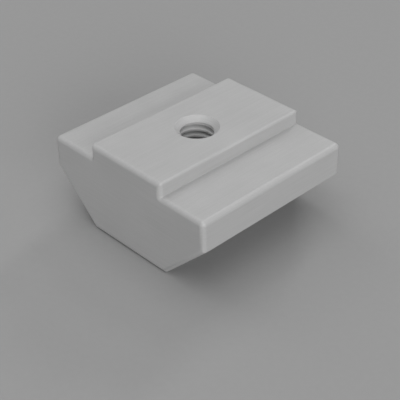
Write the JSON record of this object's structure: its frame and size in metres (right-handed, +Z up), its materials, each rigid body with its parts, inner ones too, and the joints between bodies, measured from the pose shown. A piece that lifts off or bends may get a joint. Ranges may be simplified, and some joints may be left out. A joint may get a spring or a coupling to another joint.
{
  "type": "t slot nut",
  "caption": "T slot nut with side wings, slanted flanks and a raised neck round a threaded through hole; it slides in a profile's slot and takes a screw.",
  "frame": {"origin": "centre of the flat underside, on the axis of the threaded hole", "axes": "+Z up along the hole, out of the neck; +Y along the slot; +X across the slot, towards one wing"},
  "size_m": [0.02, 0.018, 0.0096],
  "materials": {
    "steel": "matte zinc plate"
  },
  "bodies": {
    "root": {"slot_nut": "steel"}
  },
  "joints": []
}
